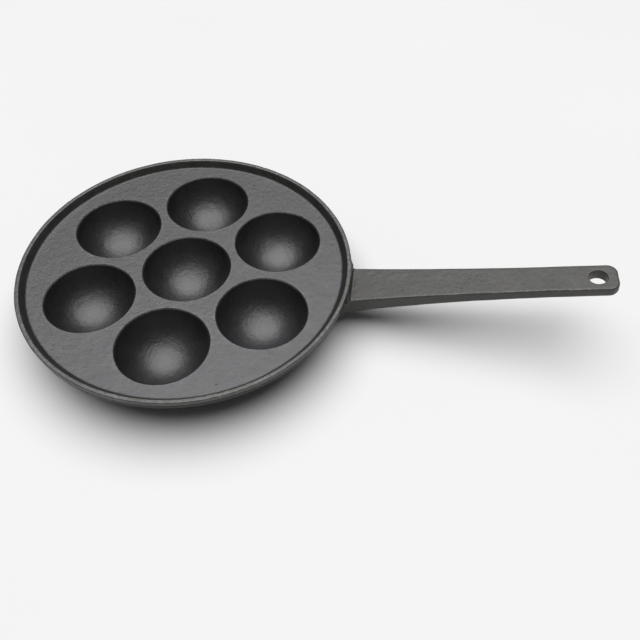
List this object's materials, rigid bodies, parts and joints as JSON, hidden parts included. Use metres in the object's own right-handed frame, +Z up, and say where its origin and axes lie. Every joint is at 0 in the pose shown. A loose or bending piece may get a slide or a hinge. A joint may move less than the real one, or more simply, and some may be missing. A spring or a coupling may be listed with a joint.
{
  "type": "aebleskiver pan",
  "caption": "Cast iron stovetop pan with deep round wells in a rimmed plate, for baking batter balls, and a long flat rising handle with a hanging hole.",
  "frame": {"origin": "on the pan's upright axis, at the level of what it stands on, under the centre well", "axes": "+X along the handle towards its tip, +Z up, wells opening upwards"},
  "size_m": [0.3853, 0.22, 0.0537],
  "materials": {
    "cooking_iron": "fine sand-cast grain, seasoned satin dark grey",
    "rim_iron": "sand-cast grain with lighter worn specks along the edges",
    "outer_iron": "coarse as-cast dark grey",
    "handle_iron": "as-cast warm grey with pits and a worn hole edge"
  },
  "bodies": {
    "root": {"cooking_plate": "cooking_iron", "rim": "rim_iron", "skirt": "outer_iron", "well_centre": "cooking_iron", "well_rear_right": "cooking_iron", "well_rear": "cooking_iron", "well_rear_left": "cooking_iron", "well_front_left": "cooking_iron", "well_front": "cooking_iron", "well_front_right": "cooking_iron", "handle_root": "handle_iron", "handle_shank": "handle_iron", "hanging_eye": "handle_iron"}
  },
  "joints": []
}
